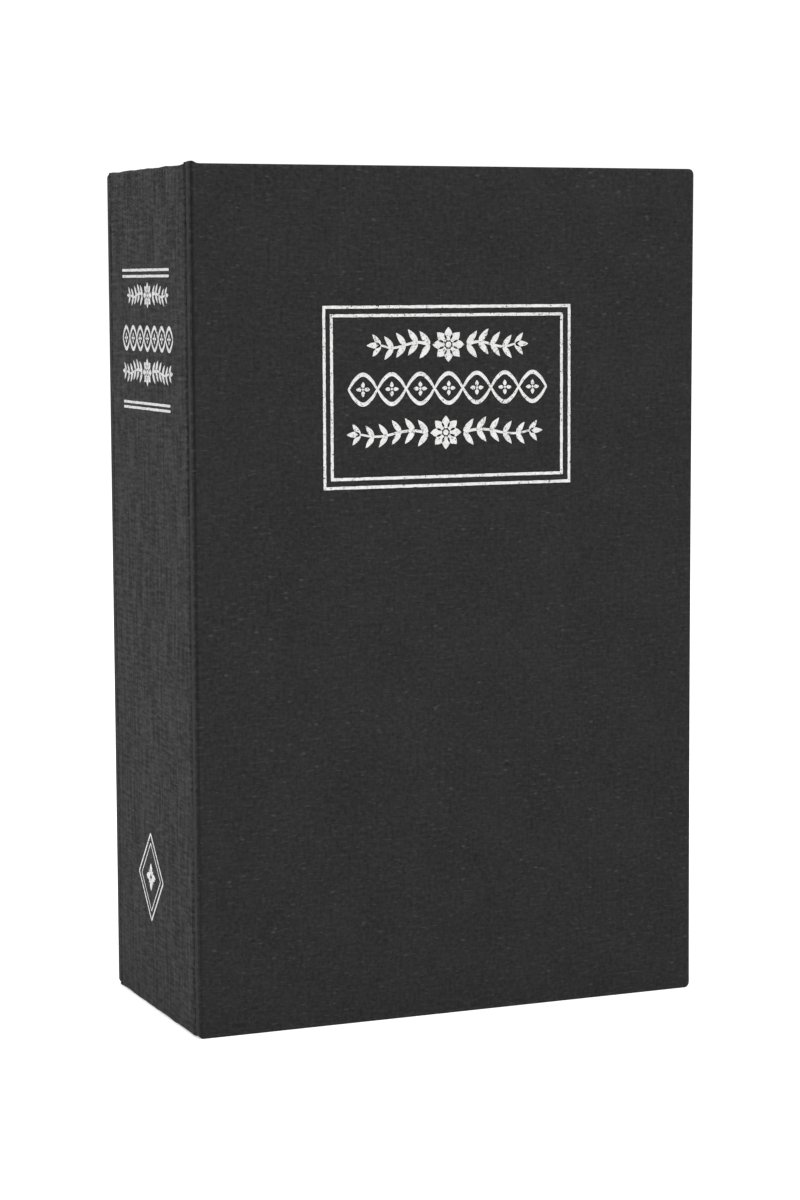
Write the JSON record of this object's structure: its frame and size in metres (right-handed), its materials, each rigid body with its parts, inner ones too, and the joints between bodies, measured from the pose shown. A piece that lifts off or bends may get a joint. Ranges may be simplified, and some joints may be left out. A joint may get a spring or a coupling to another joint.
{
  "type": "book diversion safe",
  "caption": "Small steel box with a hinged lid and a combination lock, bound inside a cloth-covered hardback book.",
  "frame": {"origin": "under the middle of the closed, upright book, on the surface that it stands on", "axes": "+X from spine to fore edge, +Y from front cover to back cover, +Z from tail to head"},
  "size_m": [0.115, 0.055, 0.18],
  "materials": {
    "book_cloth": "matte",
    "greyboard": "matte",
    "lining_paper": "matte",
    "page_edge": "matte",
    "black_steel": "satin",
    "hinge_steel": "satin",
    "lock_zinc": "satin",
    "lock_steel": "satin",
    "lock_chrome": "polished",
    "dial_plastic": "satin"
  },
  "bodies": {
    "block": {"back_board": "greyboard", "back_cloth": "book_cloth", "back_lining": "lining_paper", "back_joint_cloth": "book_cloth", "pages_fore_edge": "page_edge", "pages_head": "page_edge", "pages_tail": "page_edge", "pages_spine_side": "page_edge", "steel_tray": "black_steel", "tray_hinge_leaf": "hinge_steel", "tray_rivet_1": "hinge_steel", "tray_rivet_2": "hinge_steel", "tray_rivet_3": "hinge_steel", "tray_rivet_4": "hinge_steel", "tray_rivet_5": "hinge_steel", "hinge_pin": "hinge_steel"},
    "spine": {"spine_board": "greyboard", "spine_cloth": "book_cloth", "spine_lining": "lining_paper"},
    "front_cover": {"front_board": "greyboard", "front_cloth": "book_cloth", "front_lining": "lining_paper", "front_joint_cloth": "book_cloth"},
    "lid": {"lid_plate": "black_steel", "lid_hinge_leaf": "hinge_steel", "lid_rivet_1": "hinge_steel", "lid_rivet_2": "hinge_steel", "lid_rivet_3": "hinge_steel", "lid_rivet_4": "hinge_steel", "lid_rivet_5": "hinge_steel", "lock_bezel": "lock_chrome", "lock_case": "lock_zinc", "lock_base_plate": "lock_zinc", "lock_screw_1": "lock_zinc", "lock_screw_2": "lock_zinc", "lock_screw_3": "lock_zinc", "lock_screw_4": "lock_zinc", "base_screw_1": "lock_zinc", "base_screw_2": "lock_zinc", "dial_spindle": "lock_steel", "detent_spring": "lock_steel"},
    "dial_1": {"dial_1": "dial_plastic"},
    "dial_2": {"dial_2": "dial_plastic"},
    "dial_3": {"dial_3": "dial_plastic"},
    "bolt": {"bolt_plate": "lock_zinc", "thumb_button": "lock_chrome"}
  },
  "joints": [
    {"name": "spine_hinge", "type": "hinge", "parent": "block", "child": "spine", "pos_m": [-0.0575, 0.0255, 0.09], "axis": [0, 0, -1], "range_deg": [0, 90], "deforming": ["back_joint_cloth"]},
    {"name": "cover_hinge", "type": "hinge", "parent": "spine", "child": "front_cover", "pos_m": [-0.0575, -0.0255, 0.09], "axis": [0, 0, -1], "range_deg": [0, 180], "deforming": ["front_joint_cloth"]},
    {"name": "lid_hinge", "type": "hinge", "parent": "block", "child": "lid", "pos_m": [-0.0446, -0.02175, 0.09], "axis": [0, 0, -1], "range_deg": [0, 105]},
    {"name": "dial_1_spin", "type": "hinge", "parent": "lid", "child": "dial_1", "pos_m": [0, -0.01675, 0.09], "axis": [1, 0, 0], "continuous": true},
    {"name": "dial_2_spin", "type": "hinge", "parent": "lid", "child": "dial_2", "pos_m": [0, -0.01675, 0.09], "axis": [1, 0, 0], "continuous": true},
    {"name": "dial_3_spin", "type": "hinge", "parent": "lid", "child": "dial_3", "pos_m": [0, -0.01675, 0.09], "axis": [1, 0, 0], "continuous": true},
    {"name": "bolt_slide", "type": "slide", "parent": "lid", "child": "bolt", "axis": [1, 0, 0], "range_m": [0, 0.0031]}
  ],
  "couplings": [
    {"joint": "lid_hinge", "follows": "cover_hinge", "ratio": 0.58333}
  ]
}
